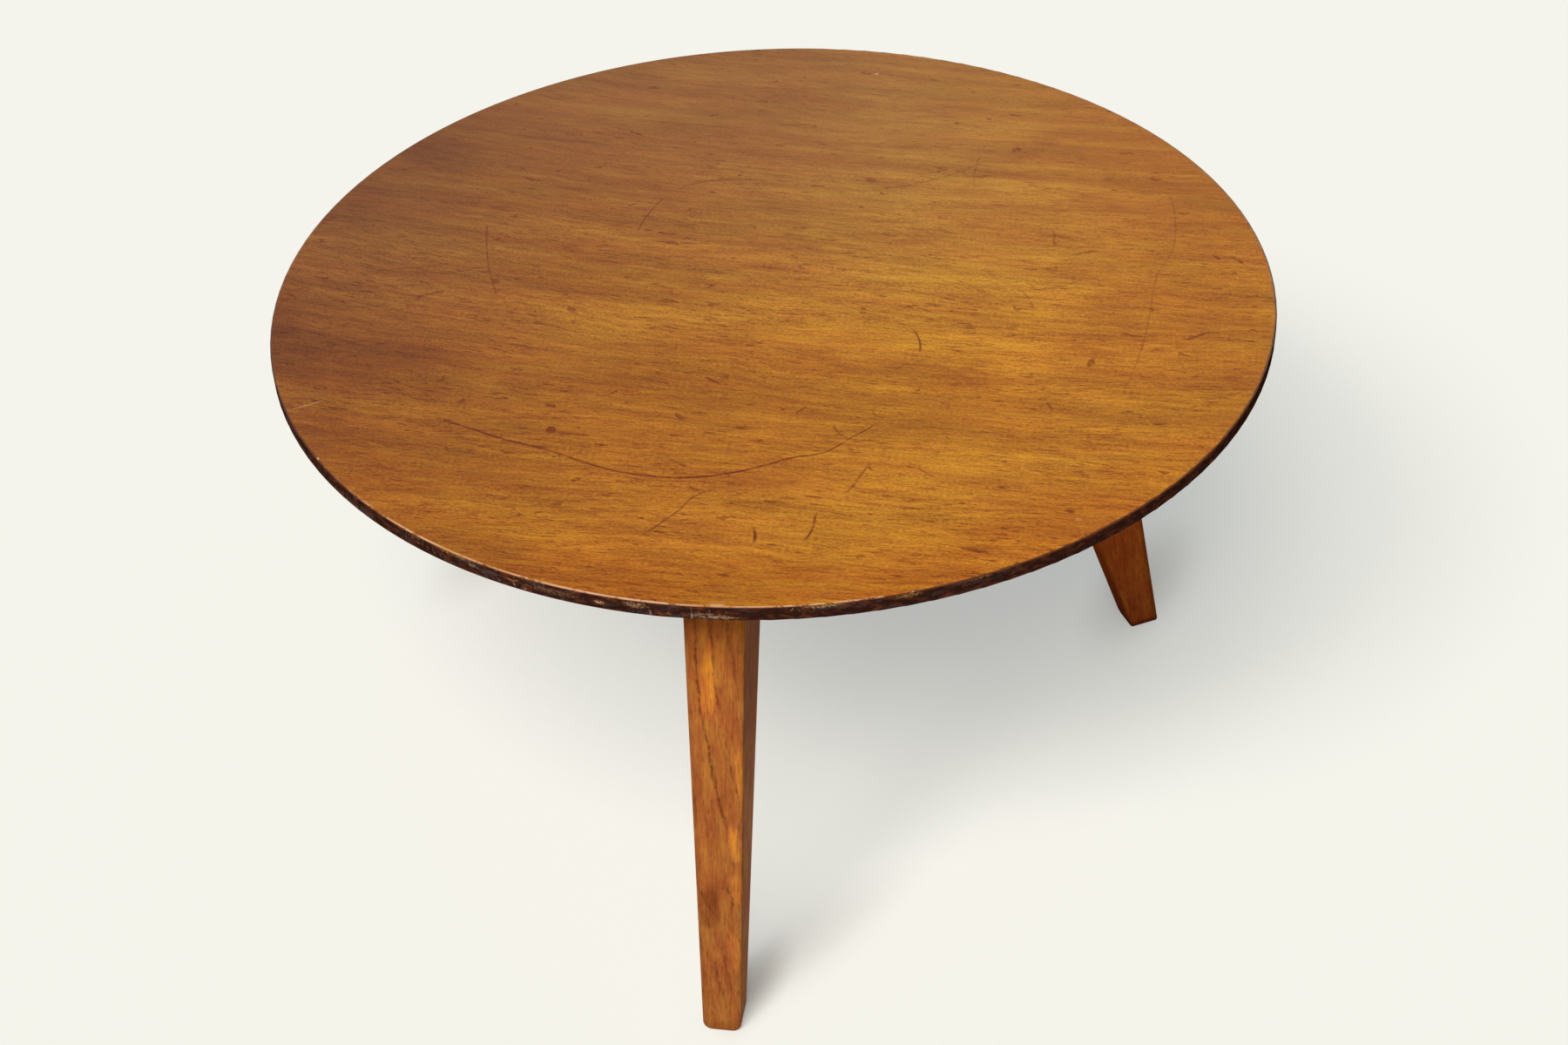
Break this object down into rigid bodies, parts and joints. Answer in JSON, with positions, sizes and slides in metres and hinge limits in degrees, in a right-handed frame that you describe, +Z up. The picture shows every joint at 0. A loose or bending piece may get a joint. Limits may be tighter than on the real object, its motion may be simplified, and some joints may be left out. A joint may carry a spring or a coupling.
{
  "type": "tripod coffee table",
  "caption": "Low round table: a thin veneered plywood disc with a dark edge on splayed, tapered wooden tripod legs, joined under the top by a hub and rails.",
  "frame": {"origin": "on the floor, under the middle of the round top", "axes": "+Z up; the front leg stands on -Y, the other legs at 30 and 150 degrees from +X"},
  "size_m": [0.7999, 0.8, 0.476],
  "materials": {
    "face_veneer": "satin lacquer, amber brown, worn and scratched",
    "core_ply": "edge stained nearly black, light wood inside",
    "back_veneer": "thin matt stain",
    "leg_wood": "satin lacquer, orange brown",
    "rail_wood": "thin matt stain",
    "pin_wood": "bare end grain",
    "screw_steel": "bright steel, slightly dull"
  },
  "bodies": {
    "root": {"face_veneer": "face_veneer", "core_ply_1": "core_ply", "core_ply_2": "core_ply", "core_ply_3": "core_ply", "core_ply_4": "core_ply", "core_ply_5": "core_ply", "back_veneer": "back_veneer", "front_leg": "leg_wood", "right_leg": "leg_wood", "left_leg": "leg_wood", "front_rail": "rail_wood", "right_rail": "rail_wood", "left_rail": "rail_wood", "hub": "rail_wood", "leg_pins": "pin_wood", "top_screws": "screw_steel"}
  },
  "joints": []
}
